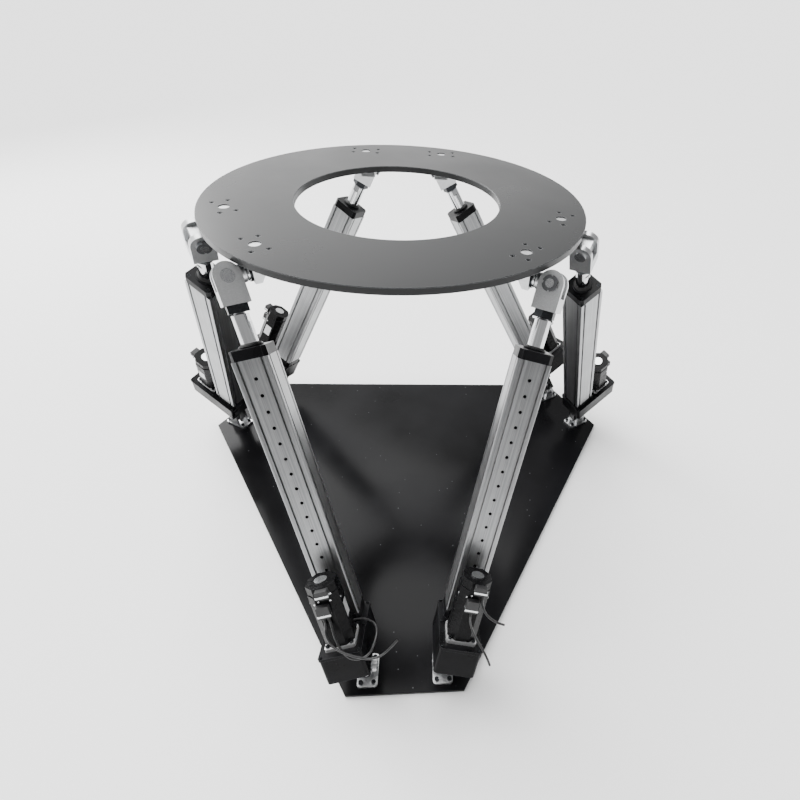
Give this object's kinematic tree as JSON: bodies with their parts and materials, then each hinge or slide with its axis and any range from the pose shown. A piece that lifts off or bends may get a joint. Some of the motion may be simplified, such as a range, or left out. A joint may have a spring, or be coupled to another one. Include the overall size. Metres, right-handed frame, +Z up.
{
  "type": "motion platform",
  "caption": "Low base plate cut from a triangle, folded electric cylinders in pairs on universal joints, and a flat ring plate on top that they lift and tilt.",
  "frame": {"origin": "centre of the base plate's underside, on the vertical axis of the ring plate", "axes": "+Z up, the first pair of feet toward -Y; X, Y and Z in metres"},
  "size_m": [1.7924, 1.5555, 1.088],
  "materials": {
    "base_black": "satin black powder coat",
    "bracket_silver": "machined, clear anodised",
    "ring_dark": "black anodised, satin",
    "steel_cross": "ground steel",
    "black_anodised": "black anodised, satin",
    "profile_anodised": "natural anodised extrusion",
    "motor_black": "satin black paint, bare flange",
    "chrome_rod": "hard chrome, polished",
    "fork_aluminium": "machined, clear anodised",
    "cable_black": "smooth dark jacket"
  },
  "bodies": {
    "base": {"base_plate": "base_black", "foot_brackets": "bracket_silver"},
    "platform": {"ring_plate": "ring_dark", "ring_brackets": "bracket_silver"},
    "lower_joint_1": {"lower_cross_1": "steel_cross"},
    "cylinder_1": {"drive_housing_1": "black_anodised", "profile_1": "profile_anodised", "front_cap_1": "black_anodised", "motor_1": "motor_black", "power_cable_1": "cable_black", "encoder_cable_1": "cable_black"},
    "push_rod_1": {"rod_1": "chrome_rod", "rod_fork_1": "fork_aluminium"},
    "upper_joint_1": {"upper_cross_1": "fork_aluminium"},
    "lower_joint_2": {"lower_cross_2": "steel_cross"},
    "cylinder_2": {"drive_housing_2": "black_anodised", "profile_2": "profile_anodised", "front_cap_2": "black_anodised", "motor_2": "motor_black", "power_cable_2": "cable_black", "encoder_cable_2": "cable_black"},
    "push_rod_2": {"rod_2": "chrome_rod", "rod_fork_2": "fork_aluminium"},
    "upper_joint_2": {"upper_cross_2": "fork_aluminium"},
    "lower_joint_3": {"lower_cross_3": "steel_cross"},
    "cylinder_3": {"drive_housing_3": "black_anodised", "profile_3": "profile_anodised", "front_cap_3": "black_anodised", "motor_3": "motor_black"},
    "push_rod_3": {"rod_3": "chrome_rod", "rod_fork_3": "fork_aluminium"},
    "upper_joint_3": {"upper_cross_3": "fork_aluminium"},
    "lower_joint_4": {"lower_cross_4": "steel_cross"},
    "cylinder_4": {"drive_housing_4": "black_anodised", "profile_4": "profile_anodised", "front_cap_4": "black_anodised", "motor_4": "motor_black"},
    "push_rod_4": {"rod_4": "chrome_rod", "rod_fork_4": "fork_aluminium"},
    "upper_joint_4": {"upper_cross_4": "fork_aluminium"},
    "lower_joint_5": {"lower_cross_5": "steel_cross"},
    "cylinder_5": {"drive_housing_5": "black_anodised", "profile_5": "profile_anodised", "front_cap_5": "black_anodised", "motor_5": "motor_black"},
    "push_rod_5": {"rod_5": "chrome_rod", "rod_fork_5": "fork_aluminium"},
    "upper_joint_5": {"upper_cross_5": "fork_aluminium"},
    "lower_joint_6": {"lower_cross_6": "steel_cross"},
    "cylinder_6": {"drive_housing_6": "black_anodised", "profile_6": "profile_anodised", "front_cap_6": "black_anodised", "motor_6": "motor_black"},
    "push_rod_6": {"rod_6": "chrome_rod", "rod_fork_6": "fork_aluminium"},
    "upper_joint_6": {"upper_cross_6": "fork_aluminium"}
  },
  "joints": [
    {"name": "platform_heave", "type": "slide", "parent": "base", "child": "platform", "axis": [0, 0, 1], "range_m": [0, 0.25]},
    {"name": "foot_swivel_1", "type": "hinge", "parent": "base", "child": "lower_joint_1", "pos_m": [-0.112, -0.82, 0.057], "axis": [1, 0, 0], "range_deg": [0, 4.76]},
    {"name": "foot_pin_1", "type": "hinge", "parent": "lower_joint_1", "child": "cylinder_1", "pos_m": [-0.112, -0.82, 0.057], "axis": [0, -0.9007, 0.4344], "range_deg": [-2.27, 0]},
    {"name": "rod_slide_1", "type": "slide", "parent": "cylinder_1", "child": "push_rod_1", "axis": [-0.2295, 0.4228, 0.8767], "range_m": [0, 0.22472]},
    {"name": "head_pin_1", "type": "hinge", "parent": "push_rod_1", "child": "upper_joint_1", "pos_m": [-0.36645, -0.35129, 1.029], "axis": [0.4384, -0.7593, 0.4809], "range_deg": [-0.1218, 0]},
    {"name": "foot_swivel_2", "type": "hinge", "parent": "base", "child": "lower_joint_2", "pos_m": [0.112, -0.82, 0.057], "axis": [1, 0, 0], "range_deg": [0, 4.76]},
    {"name": "foot_pin_2", "type": "hinge", "parent": "lower_joint_2", "child": "cylinder_2", "pos_m": [0.112, -0.82, 0.057], "axis": [0, -0.9007, 0.4344], "range_deg": [0, 2.27]},
    {"name": "rod_slide_2", "type": "slide", "parent": "cylinder_2", "child": "push_rod_2", "axis": [0.2295, 0.4228, 0.8767], "range_m": [0, 0.22472]},
    {"name": "head_pin_2", "type": "hinge", "parent": "push_rod_2", "child": "upper_joint_2", "pos_m": [0.36645, -0.35129, 1.029], "axis": [-0.4384, -0.7593, 0.4809], "range_deg": [0, 0.1218]},
    {"name": "foot_swivel_3", "type": "hinge", "parent": "base", "child": "lower_joint_3", "pos_m": [0.76614, 0.31301, 0.057], "axis": [-0.5, 0.866, 0], "range_deg": [0, 4.76]},
    {"name": "foot_pin_3", "type": "hinge", "parent": "lower_joint_3", "child": "cylinder_3", "pos_m": [0.76614, 0.31301, 0.057], "axis": [0.7801, 0.4504, 0.4344], "range_deg": [-2.27, 0]},
    {"name": "rod_slide_3", "type": "slide", "parent": "cylinder_3", "child": "push_rod_3", "axis": [-0.2514, -0.4101, 0.8767], "range_m": [0, 0.22472]},
    {"name": "head_pin_3", "type": "hinge", "parent": "push_rod_3", "child": "upper_joint_3", "pos_m": [0.48745, -0.14171, 1.029], "axis": [0.4384, 0.7593, 0.4809], "range_deg": [-0.1218, 0]},
    {"name": "foot_swivel_4", "type": "hinge", "parent": "base", "child": "lower_joint_4", "pos_m": [0.65414, 0.50699, 0.057], "axis": [-0.5, 0.866, 0], "range_deg": [0, 4.76]},
    {"name": "foot_pin_4", "type": "hinge", "parent": "lower_joint_4", "child": "cylinder_4", "pos_m": [0.65414, 0.50699, 0.057], "axis": [0.7801, 0.4504, 0.4344], "range_deg": [0, 2.27]},
    {"name": "rod_slide_4", "type": "slide", "parent": "cylinder_4", "child": "push_rod_4", "axis": [-0.4809, -0.0126, 0.8767], "range_m": [0, 0.22472]},
    {"name": "head_pin_4", "type": "hinge", "parent": "push_rod_4", "child": "upper_joint_4", "pos_m": [0.121, 0.493, 1.029], "axis": [0.8768, 0, 0.4809], "range_deg": [0, 0.1218]},
    {"name": "foot_swivel_5", "type": "hinge", "parent": "base", "child": "lower_joint_5", "pos_m": [-0.65414, 0.50699, 0.057], "axis": [-0.5, -0.866, 0], "range_deg": [0, 4.76]},
    {"name": "foot_pin_5", "type": "hinge", "parent": "lower_joint_5", "child": "cylinder_5", "pos_m": [-0.65414, 0.50699, 0.057], "axis": [-0.7801, 0.4504, 0.4344], "range_deg": [-2.27, 0]},
    {"name": "rod_slide_5", "type": "slide", "parent": "cylinder_5", "child": "push_rod_5", "axis": [0.4809, -0.0126, 0.8767], "range_m": [0, 0.22472]},
    {"name": "head_pin_5", "type": "hinge", "parent": "push_rod_5", "child": "upper_joint_5", "pos_m": [-0.121, 0.493, 1.029], "axis": [-0.8768, 0, 0.4809], "range_deg": [-0.1218, 0]},
    {"name": "foot_swivel_6", "type": "hinge", "parent": "base", "child": "lower_joint_6", "pos_m": [-0.76614, 0.31301, 0.057], "axis": [-0.5, -0.866, 0], "range_deg": [0, 4.76]},
    {"name": "foot_pin_6", "type": "hinge", "parent": "lower_joint_6", "child": "cylinder_6", "pos_m": [-0.76614, 0.31301, 0.057], "axis": [-0.7801, 0.4504, 0.4344], "range_deg": [0, 2.27]},
    {"name": "rod_slide_6", "type": "slide", "parent": "cylinder_6", "child": "push_rod_6", "axis": [0.2514, -0.4101, 0.8767], "range_m": [0, 0.22472]},
    {"name": "head_pin_6", "type": "hinge", "parent": "push_rod_6", "child": "upper_joint_6", "pos_m": [-0.48745, -0.14171, 1.029], "axis": [-0.4384, 0.7593, 0.4809], "range_deg": [0, 0.1218]}
  ],
  "couplings": [
    {"joint": "foot_swivel_1", "follows": "platform_heave", "rad_per_m": 0.33225},
    {"joint": "foot_pin_1", "follows": "platform_heave", "rad_per_m": -0.15819},
    {"joint": "rod_slide_1", "follows": "platform_heave", "ratio": 0.89844},
    {"joint": "head_pin_1", "follows": "platform_heave", "rad_per_m": -0.0084991},
    {"joint": "foot_swivel_2", "follows": "platform_heave", "rad_per_m": 0.33225},
    {"joint": "foot_pin_2", "follows": "platform_heave", "rad_per_m": 0.15819},
    {"joint": "rod_slide_2", "follows": "platform_heave", "ratio": 0.89844},
    {"joint": "head_pin_2", "follows": "platform_heave", "rad_per_m": 0.0084991},
    {"joint": "foot_swivel_3", "follows": "platform_heave", "rad_per_m": 0.33225},
    {"joint": "foot_pin_3", "follows": "platform_heave", "rad_per_m": -0.15819},
    {"joint": "rod_slide_3", "follows": "platform_heave", "ratio": 0.89844},
    {"joint": "head_pin_3", "follows": "platform_heave", "rad_per_m": -0.0084991},
    {"joint": "foot_swivel_4", "follows": "platform_heave", "rad_per_m": 0.33225},
    {"joint": "foot_pin_4", "follows": "platform_heave", "rad_per_m": 0.15819},
    {"joint": "rod_slide_4", "follows": "platform_heave", "ratio": 0.89844},
    {"joint": "head_pin_4", "follows": "platform_heave", "rad_per_m": 0.0084991},
    {"joint": "foot_swivel_5", "follows": "platform_heave", "rad_per_m": 0.33225},
    {"joint": "foot_pin_5", "follows": "platform_heave", "rad_per_m": -0.15819},
    {"joint": "rod_slide_5", "follows": "platform_heave", "ratio": 0.89844},
    {"joint": "head_pin_5", "follows": "platform_heave", "rad_per_m": -0.0084991},
    {"joint": "foot_swivel_6", "follows": "platform_heave", "rad_per_m": 0.33225},
    {"joint": "foot_pin_6", "follows": "platform_heave", "rad_per_m": 0.15819},
    {"joint": "rod_slide_6", "follows": "platform_heave", "ratio": 0.89844},
    {"joint": "head_pin_6", "follows": "platform_heave", "rad_per_m": 0.0084991}
  ]
}
